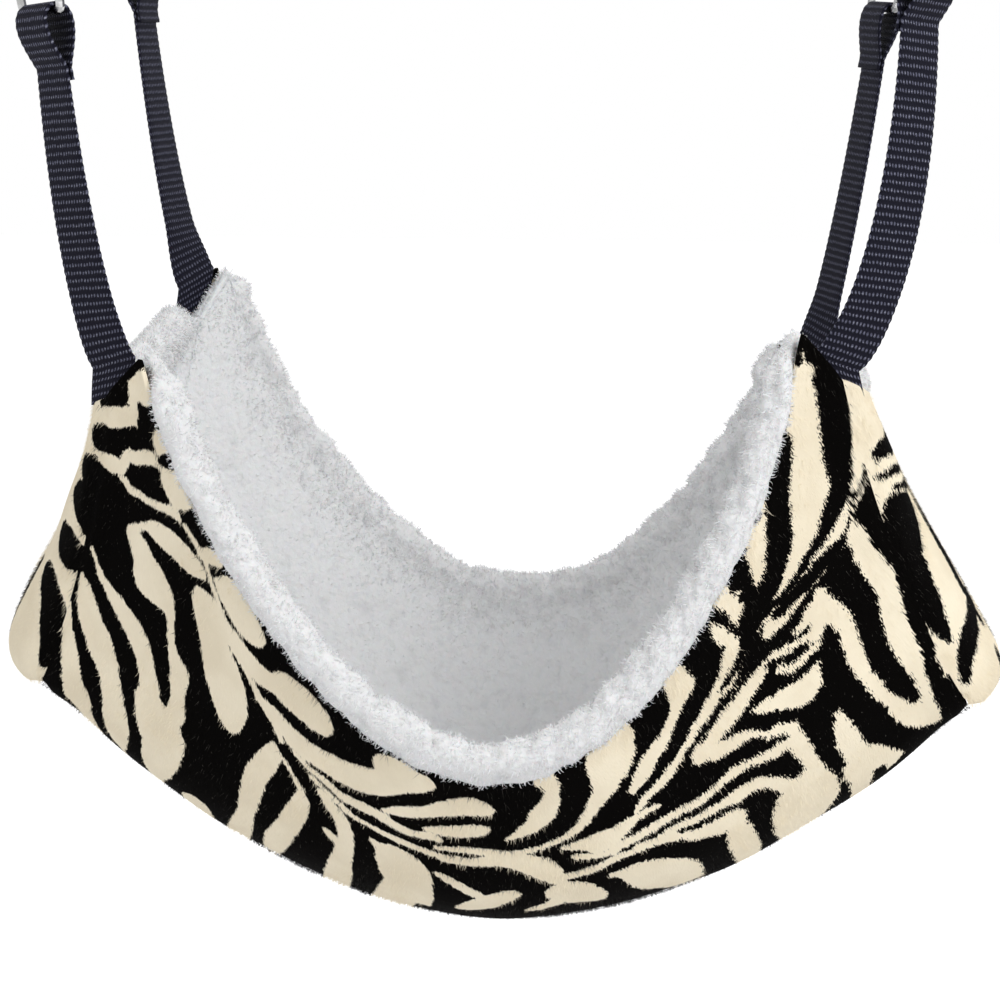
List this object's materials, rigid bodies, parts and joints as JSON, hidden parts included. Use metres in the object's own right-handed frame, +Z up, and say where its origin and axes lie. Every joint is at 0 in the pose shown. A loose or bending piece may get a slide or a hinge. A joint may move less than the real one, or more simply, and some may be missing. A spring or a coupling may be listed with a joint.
{
  "type": "cat hammock",
  "caption": "Hanging cradle bed for a cat: zebra-striped plush pouch with fleece lining, sewn end panels and webbing straps with swivel snap hooks.",
  "frame": {"origin": "middle of the four hanging points, which are the inner tops of the four hooks", "axes": "+Z up, +X towards the right end of the bed, -Y towards the front of the bed, the side that the picture shows"},
  "size_m": [0.4621, 0.2752, 0.5096],
  "materials": {
    "zebra_plush": "short pile",
    "wadding": "matte",
    "sherpa_fleece": "lumpy pile",
    "webbing": "woven",
    "nickel_plate": "polished",
    "spring_steel": "satin"
  },
  "bodies": {
    "bed": {"outer_cover": "zebra_plush", "wadding": "wadding", "fleece_lining": "sherpa_fleece", "left_end_cover": "zebra_plush", "left_end_wadding": "wadding", "left_end_lining": "sherpa_fleece", "right_end_cover": "zebra_plush", "right_end_wadding": "wadding", "right_end_lining": "sherpa_fleece", "front_left_strap_sewn_end": "webbing", "front_right_strap_sewn_end": "webbing", "rear_left_strap_sewn_end": "webbing", "rear_right_strap_sewn_end": "webbing"},
    "front_left_strap_run": {"front_left_strap": "webbing"},
    "front_left_eye": {"front_left_swivel_eye": "nickel_plate"},
    "front_left_snap_hook": {"front_left_hook": "nickel_plate", "front_left_gate_pin": "spring_steel", "front_left_gate_spring": "spring_steel"},
    "front_left_gate_lever": {"front_left_gate": "nickel_plate"},
    "front_right_strap_run": {"front_right_strap": "webbing"},
    "front_right_eye": {"front_right_swivel_eye": "nickel_plate"},
    "front_right_snap_hook": {"front_right_hook": "nickel_plate", "front_right_gate_pin": "spring_steel", "front_right_gate_spring": "spring_steel"},
    "front_right_gate_lever": {"front_right_gate": "nickel_plate"},
    "rear_left_strap_run": {"rear_left_strap": "webbing"},
    "rear_left_eye": {"rear_left_swivel_eye": "nickel_plate"},
    "rear_left_snap_hook": {"rear_left_hook": "nickel_plate", "rear_left_gate_pin": "spring_steel", "rear_left_gate_spring": "spring_steel"},
    "rear_left_gate_lever": {"rear_left_gate": "nickel_plate"},
    "rear_right_strap_run": {"rear_right_strap": "webbing"},
    "rear_right_eye": {"rear_right_swivel_eye": "nickel_plate"},
    "rear_right_snap_hook": {"rear_right_hook": "nickel_plate", "rear_right_gate_pin": "spring_steel", "rear_right_gate_spring": "spring_steel"},
    "rear_right_gate_lever": {"rear_right_gate": "nickel_plate"}
  },
  "joints": [
    {"name": "front_left_strap_fold", "type": "hinge", "parent": "bed", "child": "front_left_strap_run", "pos_m": [-0.15494, -0.09606, -0.21895], "axis": [-0.8537, 0.4451, -0.2704], "range_deg": [0, 30]},
    {"name": "front_left_eye_tilt", "type": "hinge", "parent": "front_left_strap_run", "child": "front_left_eye", "pos_m": [-0.17857, -0.10318, -0.07074], "axis": [0.7087, -0.7011, 0.0793], "range_deg": [-120, 120]},
    {"name": "front_left_hook_swivel", "type": "hinge", "parent": "front_left_eye", "child": "front_left_snap_hook", "pos_m": [-0.17857, -0.10318, -0.07074], "axis": [-0.1614, -0.0516, 0.9855], "continuous": true},
    {"name": "front_left_gate_swing", "type": "hinge", "parent": "front_left_snap_hook", "child": "front_left_gate_lever", "pos_m": [-0.1775, -0.11054, -0.04071], "axis": [-0.6868, -0.7112, -0.1497], "range_deg": [0, 30], "stiffness_Nm_per_rad": 0.02, "springref_deg": -20.05, "deforming": ["front_left_gate_spring"]},
    {"name": "front_right_strap_fold", "type": "hinge", "parent": "bed", "child": "front_right_strap_run", "pos_m": [0.15288, -0.09604, -0.21517], "axis": [-0.8371, -0.4392, 0.3262], "range_deg": [0, 30]},
    {"name": "front_right_eye_tilt", "type": "hinge", "parent": "front_right_strap_run", "child": "front_right_eye", "pos_m": [0.18716, -0.10406, -0.05065], "axis": [-0.6515, -0.7521, 0.0991], "range_deg": [-120, 120]},
    {"name": "front_right_hook_swivel", "type": "hinge", "parent": "front_right_eye", "child": "front_right_snap_hook", "pos_m": [0.18716, -0.10406, -0.05065], "axis": [0.2076, -0.0512, 0.9769], "continuous": true},
    {"name": "front_right_gate_swing", "type": "hinge", "parent": "front_right_snap_hook", "child": "front_right_gate_lever", "pos_m": [0.18794, -0.11183, -0.02071], "axis": [-0.7297, 0.657, 0.1895], "range_deg": [0, 30], "stiffness_Nm_per_rad": 0.02, "springref_deg": -20.05, "deforming": ["front_right_gate_spring"]},
    {"name": "rear_left_strap_fold", "type": "hinge", "parent": "bed", "child": "rear_left_strap_run", "pos_m": [-0.15951, 0.09711, -0.20552], "axis": [0.5326, 0.7779, 0.3335], "range_deg": [0, 30]},
    {"name": "rear_left_eye_tilt", "type": "hinge", "parent": "rear_left_strap_run", "child": "rear_left_eye", "pos_m": [-0.18744, 0.1051, -0.04996], "axis": [0.1772, 0.984, -0.0187], "range_deg": [-120, 120]},
    {"name": "rear_left_hook_swivel", "type": "hinge", "parent": "rear_left_eye", "child": "rear_left_snap_hook", "pos_m": [-0.18744, 0.1051, -0.04996], "axis": [-0.182, 0.0515, 0.982], "continuous": true},
    {"name": "rear_left_gate_swing", "type": "hinge", "parent": "rear_left_snap_hook", "child": "rear_left_gate_lever", "pos_m": [-0.19139, 0.1148, -0.02085], "axis": [0.9672, -0.1705, 0.1882], "range_deg": [0, 30], "stiffness_Nm_per_rad": 0.02, "springref_deg": -20.05, "deforming": ["rear_left_gate_spring"]},
    {"name": "rear_right_strap_fold", "type": "hinge", "parent": "bed", "child": "rear_right_strap_run", "pos_m": [0.15144, 0.09715, -0.23803], "axis": [0.5569, -0.7839, -0.2744], "range_deg": [0, 30]},
    {"name": "rear_right_eye_tilt", "type": "hinge", "parent": "rear_right_strap_run", "child": "rear_right_eye", "pos_m": [0.18141, 0.10555, -0.07166], "axis": [-0.3395, 0.9405, 0.0136], "range_deg": [-120, 120]},
    {"name": "rear_right_hook_swivel", "type": "hinge", "parent": "rear_right_eye", "child": "rear_right_snap_hook", "pos_m": [0.18141, 0.10555, -0.07166], "axis": [0.182, 0.0515, 0.982], "continuous": true},
    {"name": "rear_right_gate_swing", "type": "hinge", "parent": "rear_right_snap_hook", "child": "rear_right_gate_lever", "pos_m": [0.18402, 0.11489, -0.04229], "axis": [0.9228, 0.3359, -0.1886], "range_deg": [0, 30], "stiffness_Nm_per_rad": 0.02, "springref_deg": -20.05, "deforming": ["rear_right_gate_spring"]}
  ]
}
